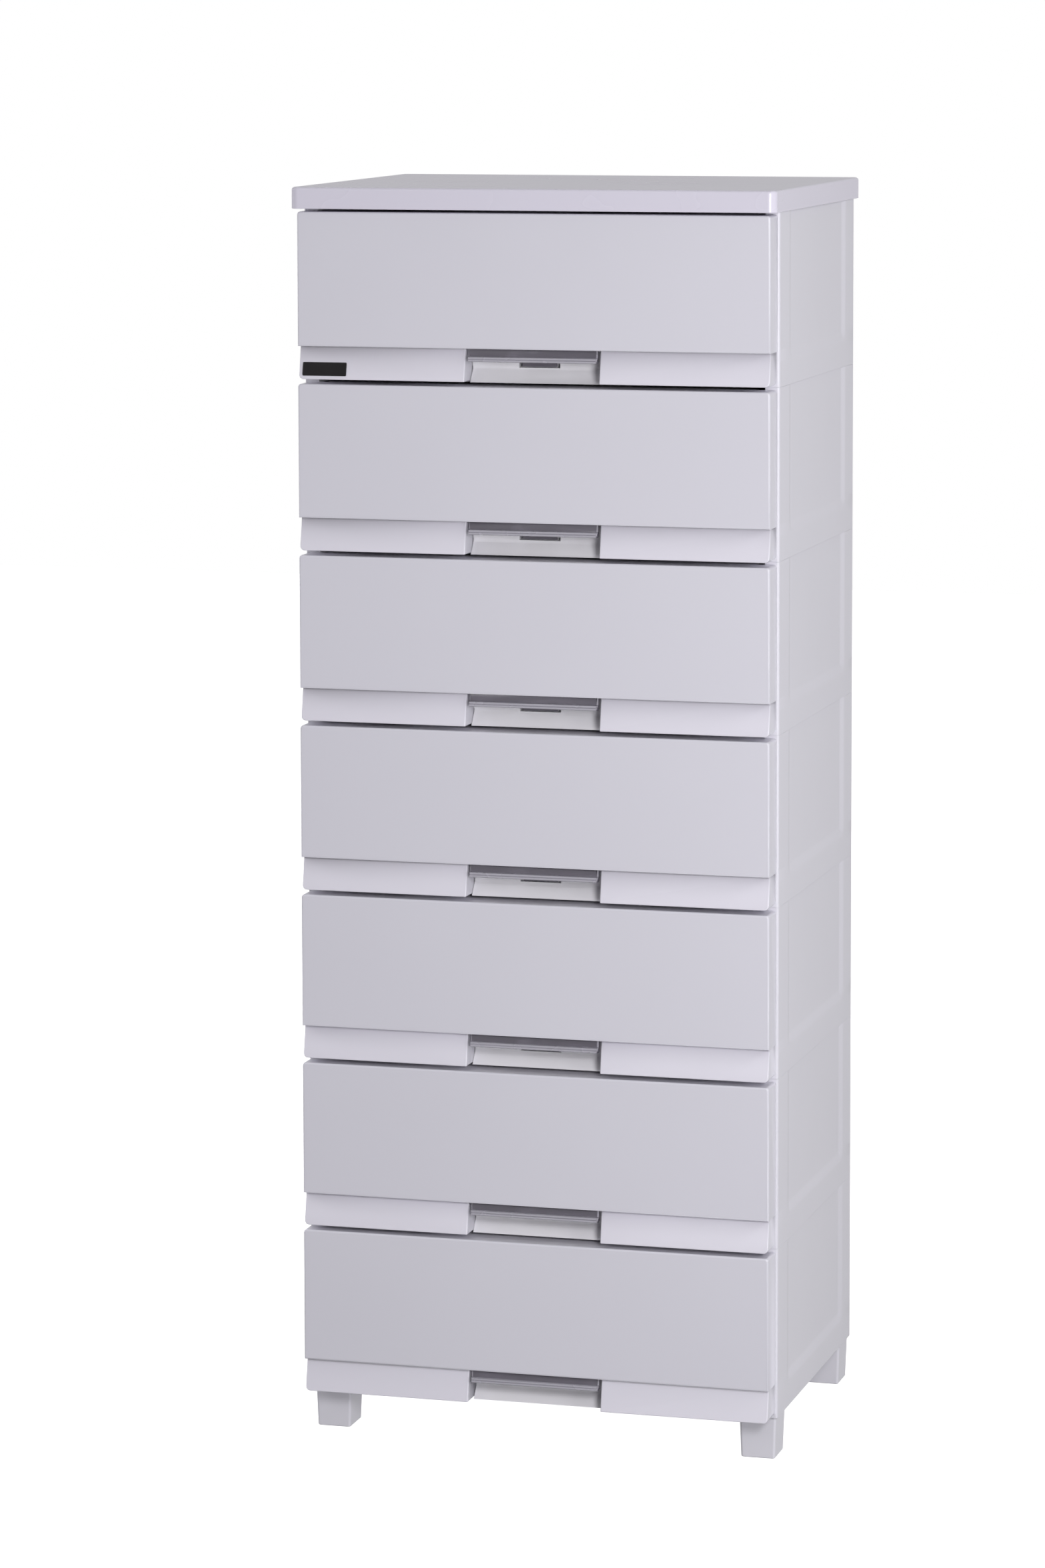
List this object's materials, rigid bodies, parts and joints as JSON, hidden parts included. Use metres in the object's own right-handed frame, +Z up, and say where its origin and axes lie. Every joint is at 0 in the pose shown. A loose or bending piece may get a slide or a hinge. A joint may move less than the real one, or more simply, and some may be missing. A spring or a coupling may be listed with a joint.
{
  "type": "plastic drawer tower",
  "caption": "Tall household tower of stacked moulded casings under a flat board, each with a sliding drawer opened by a sprung smoked lever in a cut-out of its front.",
  "frame": {"origin": "middle of the tower's plan, on the floor", "axes": "+Z up, the drawers open towards -Y, +X is to the right of someone facing the drawers"},
  "size_m": [0.54, 0.42, 1.3814],
  "materials": {
    "casing_shell": "moulded, soft sheen",
    "bin_shell": "moulded, soft sheen",
    "front_shell": "moulded, soft gloss",
    "grip_shell": "moulded, soft sheen",
    "smoked_lever": "clear smoked plastic, polished",
    "spring_wire": "bright drawn wire",
    "board_film": "fibreboard wrapped in satin film",
    "zinc_screw": "zinc plated",
    "dark_plate": "bare dark film, glossy",
    "foot_shell": "moulded, soft sheen"
  },
  "bodies": {
    "frame": {"casing_1": "casing_shell", "casing_2": "casing_shell", "casing_3": "casing_shell", "casing_4": "casing_shell", "casing_5": "casing_shell", "casing_6": "casing_shell", "casing_7": "casing_shell", "top_board": "board_film", "board_screws": "zinc_screw", "foot_front_left": "foot_shell", "foot_front_right": "foot_shell", "foot_rear_left": "foot_shell", "foot_rear_right": "foot_shell"},
    "drawer_1": {"drawer_bin_1": "bin_shell", "drawer_front_1": "front_shell", "grip_housing_1": "grip_shell", "lever_springs_1": "spring_wire", "blank_plate": "dark_plate"},
    "lever_1": {"grip_lever_1": "smoked_lever"},
    "drawer_2": {"drawer_bin_2": "bin_shell", "drawer_front_2": "front_shell", "grip_housing_2": "grip_shell", "lever_springs_2": "spring_wire"},
    "lever_2": {"grip_lever_2": "smoked_lever"},
    "drawer_3": {"drawer_bin_3": "bin_shell", "drawer_front_3": "front_shell", "grip_housing_3": "grip_shell", "lever_springs_3": "spring_wire"},
    "lever_3": {"grip_lever_3": "smoked_lever"},
    "drawer_4": {"drawer_bin_4": "bin_shell", "drawer_front_4": "front_shell", "grip_housing_4": "grip_shell", "lever_springs_4": "spring_wire"},
    "lever_4": {"grip_lever_4": "smoked_lever"},
    "drawer_5": {"drawer_bin_5": "bin_shell", "drawer_front_5": "front_shell", "grip_housing_5": "grip_shell", "lever_springs_5": "spring_wire"},
    "lever_5": {"grip_lever_5": "smoked_lever"},
    "drawer_6": {"drawer_bin_6": "bin_shell", "drawer_front_6": "front_shell", "grip_housing_6": "grip_shell", "lever_springs_6": "spring_wire"},
    "lever_6": {"grip_lever_6": "smoked_lever"},
    "drawer_7": {"drawer_bin_7": "bin_shell", "drawer_front_7": "front_shell", "grip_housing_7": "grip_shell", "lever_springs_7": "spring_wire"},
    "lever_7": {"grip_lever_7": "smoked_lever"}
  },
  "joints": [
    {"name": "drawer_slide_1", "type": "slide", "parent": "frame", "child": "drawer_1", "axis": [0, -1, 0], "range_m": [0, 0.29]},
    {"name": "lever_hinge_1", "type": "hinge", "parent": "drawer_1", "child": "lever_1", "pos_m": [0, -0.194, 1.2197], "axis": [-1, 0, 0], "range_deg": [0, 12], "stiffness_Nm_per_rad": 0.3, "springref_deg": -8.59, "deforming": ["lever_springs_1"]},
    {"name": "drawer_slide_2", "type": "slide", "parent": "frame", "child": "drawer_2", "axis": [0, -1, 0], "range_m": [0, 0.29]},
    {"name": "lever_hinge_2", "type": "hinge", "parent": "drawer_2", "child": "lever_2", "pos_m": [0, -0.194, 1.0325], "axis": [-1, 0, 0], "range_deg": [0, 12], "stiffness_Nm_per_rad": 0.3, "springref_deg": -8.59, "deforming": ["lever_springs_2"]},
    {"name": "drawer_slide_3", "type": "slide", "parent": "frame", "child": "drawer_3", "axis": [0, -1, 0], "range_m": [0, 0.29]},
    {"name": "lever_hinge_3", "type": "hinge", "parent": "drawer_3", "child": "lever_3", "pos_m": [0, -0.194, 0.8453], "axis": [-1, 0, 0], "range_deg": [0, 12], "stiffness_Nm_per_rad": 0.3, "springref_deg": -8.59, "deforming": ["lever_springs_3"]},
    {"name": "drawer_slide_4", "type": "slide", "parent": "frame", "child": "drawer_4", "axis": [0, -1, 0], "range_m": [0, 0.29]},
    {"name": "lever_hinge_4", "type": "hinge", "parent": "drawer_4", "child": "lever_4", "pos_m": [0, -0.194, 0.6581], "axis": [-1, 0, 0], "range_deg": [0, 12], "stiffness_Nm_per_rad": 0.3, "springref_deg": -8.59, "deforming": ["lever_springs_4"]},
    {"name": "drawer_slide_5", "type": "slide", "parent": "frame", "child": "drawer_5", "axis": [0, -1, 0], "range_m": [0, 0.29]},
    {"name": "lever_hinge_5", "type": "hinge", "parent": "drawer_5", "child": "lever_5", "pos_m": [0, -0.194, 0.4709], "axis": [-1, 0, 0], "range_deg": [0, 12], "stiffness_Nm_per_rad": 0.3, "springref_deg": -8.59, "deforming": ["lever_springs_5"]},
    {"name": "drawer_slide_6", "type": "slide", "parent": "frame", "child": "drawer_6", "axis": [0, -1, 0], "range_m": [0, 0.29]},
    {"name": "lever_hinge_6", "type": "hinge", "parent": "drawer_6", "child": "lever_6", "pos_m": [0, -0.194, 0.2837], "axis": [-1, 0, 0], "range_deg": [0, 12], "stiffness_Nm_per_rad": 0.3, "springref_deg": -8.59, "deforming": ["lever_springs_6"]},
    {"name": "drawer_slide_7", "type": "slide", "parent": "frame", "child": "drawer_7", "axis": [0, -1, 0], "range_m": [0, 0.29]},
    {"name": "lever_hinge_7", "type": "hinge", "parent": "drawer_7", "child": "lever_7", "pos_m": [0, -0.194, 0.0965], "axis": [-1, 0, 0], "range_deg": [0, 12], "stiffness_Nm_per_rad": 0.3, "springref_deg": -8.59, "deforming": ["lever_springs_7"]}
  ]
}
